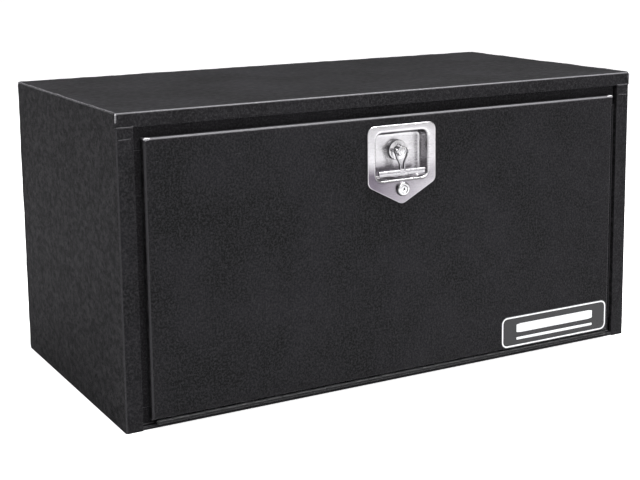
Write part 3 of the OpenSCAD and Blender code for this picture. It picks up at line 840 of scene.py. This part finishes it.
def box_welds():
    edge, low = 0.9 * MM, 3 * MM
    front, back = FACE_Y + 2 * MM, BACK_Y - 1 * MM
    for side, x, inward, seed in (("left", LEFT_X + edge, 1, 1), ("right", RIGHT_X - edge, -1, 11)):
        top_edge = [(x, front, TOP_Z - edge), (x, back, TOP_Z - edge)]
        rear_corner = [(x, back, low), (x, back, TOP_Z - 2 * MM)]
        add_beads("top_edge_weld_" + side, "root",
                  [bead(top_edge, 1.6 * MM, seed, wander=0.35, step=1.5 * MM)])
        add_beads("rear_corner_weld_" + side, "root",
                  [bead(rear_corner, 1.7 * MM, seed + 1, step=1.6 * MM)])
        front_corner_welds(side, x, inward, seed)
    top_rear = [(LEFT_X + 2 * MM, back, TOP_Z - edge), (RIGHT_X - 2 * MM, back, TOP_Z - edge)]
    add_beads("top_rear_weld", "root", [bead(top_rear, 1.7 * MM, 5, step=1.8 * MM)])
    add_beads("floor_stitch_welds", "root", floor_stitches())


def door_welds():
    """A bead across the door's edge at each corner, and a lump on the face at the upper two, coloured with a
    painted glint.
    """
    inset = 1.2 * MM
    low, high = door_lo.z + inset, door_hi.z - inset
    front, back, face = door_lo.y + 1.6 * MM, door_hi.y - 0.5 * MM, door_lo.y + 1.2 * MM
    beads = []
    for side, sign, seed, lump_r in (("left", -1, 41, 2.9 * MM), ("right", 1, 44, 1.9 * MM)):
        x = sign * (door_hi.x - inset)
        lump = [(x + sign * 0.6 * MM, face, high - 2.0 * MM), (x, face, high - 0.2 * MM),
                (x - sign * 9 * MM, front, high - 0.2 * MM)]
        beads.append(bead([(x, front, high), (x, back, high)], 1.7 * MM, seed, step=0.6 * MM))
        # The corner lumps are coloured with a painted glint.
        add_beads("door_corner_lump_" + side, "door",
                  [bead(lump, lump_r, seed + 1, wander=0.5, step=0.5 * MM)], COAT_PAINTED_GLINT)
        beads.append(bead([(x, front, low), (x, back, low)], 1.6 * MM, seed + 2, step=0.6 * MM))
    add_beads("door_corner_welds", "door", beads)


def brace_marks():
    """Faint raised lines where the upper braces' spot welds pulled the skin."""
    # place along the door from its middle, and length, in millimetres
    places_and_lengths = ((-402, 12), (-265, 30), (-86, 15), (241, 14), (393, 14))
    y, z = door_lo.y + 0.75 * MM, door_hi.z - 34 * MM
    marks = []
    for k, (x, length) in enumerate(places_and_lengths):
        line = [((x - length / 2) * MM, y, z), ((x + length / 2) * MM, y, z)]
        marks.append(bead(line, 0.9 * MM, 60 + k, ripple=0.02, wander=0.1, step=0.8 * MM))
    add_beads("brace_witness_marks", "door", marks, COAT)


# ---------------------------------------------------------------- label
def slab(outline, hole, back, front, count):
    """A flat plate, or a ring around a hole, between two depths, sampled on spokes from its middle."""
    middle = sum(outline, Vector((0, 0))) / len(outline)
    rim = spokes(outline, middle, count)
    if hole:
        soft = 0.03 * MM
        inner = spokes(hole, middle, count)
        loops = [(rim, back), (rim, front + soft), (rim, front), (inner, front), (inner, back)]
        ends = "joined"
    else:
        loops = [(rim, back), (rim, front)]
        ends = "capped"
    verts = [(p.x, y, p.y) for loop, y in loops for p in loop]
    return verts, rings(count, len(loops), ends)


def label_print():
    """A white border and two plain bars: no lettering."""
    mid_x, mid_z = (label_lo.x + label_hi.x) / 2, (label_lo.z + label_hi.z) / 2
    wide, high = label_hi.x - label_lo.x, label_hi.z - label_lo.z
    back, front = label_lo.y + 0.02 * MM, label_lo.y - 0.07 * MM
    inset, line, corner = 1.6 * MM, 2.4 * MM, 10.4 * MM
    bar_w = wide * 0.72

    def rounded_box(z, w, h, r):
        return round_corners(rectangle(mid_x, z, w, h), [r] * 4)

    def border_edge(inward):
        return rounded_box(mid_z, wide - 2 * (inset + inward), high - 2 * (inset + inward), corner - inward)

    border = slab(border_edge(0), border_edge(line), back, front, 360)
    piece("label_border", *border, "door", VINYL_WHITE, "label", 30)
    lifts_heights_radii = ((5, 15, 1.5), (-12.5, 4.5, 1.0))
    bars = [slab(rounded_box(mid_z + lift * MM, bar_w, tall * MM, r * MM), None, back, front, 240)
            for lift, tall, r in lifts_heights_radii]
    piece("label_bars", *joined(bars), "door", VINYL_WHITE, "label", 30)


add_camera()
add_floor()
add_world()
add_lights()
dress_cad_nodes()
break_edges()
latch_pan()
t_handle()
latch_hub()
handle_pin()
lock_head()
lock_plug()
box_welds()
door_welds()
brace_marks()
label_print()
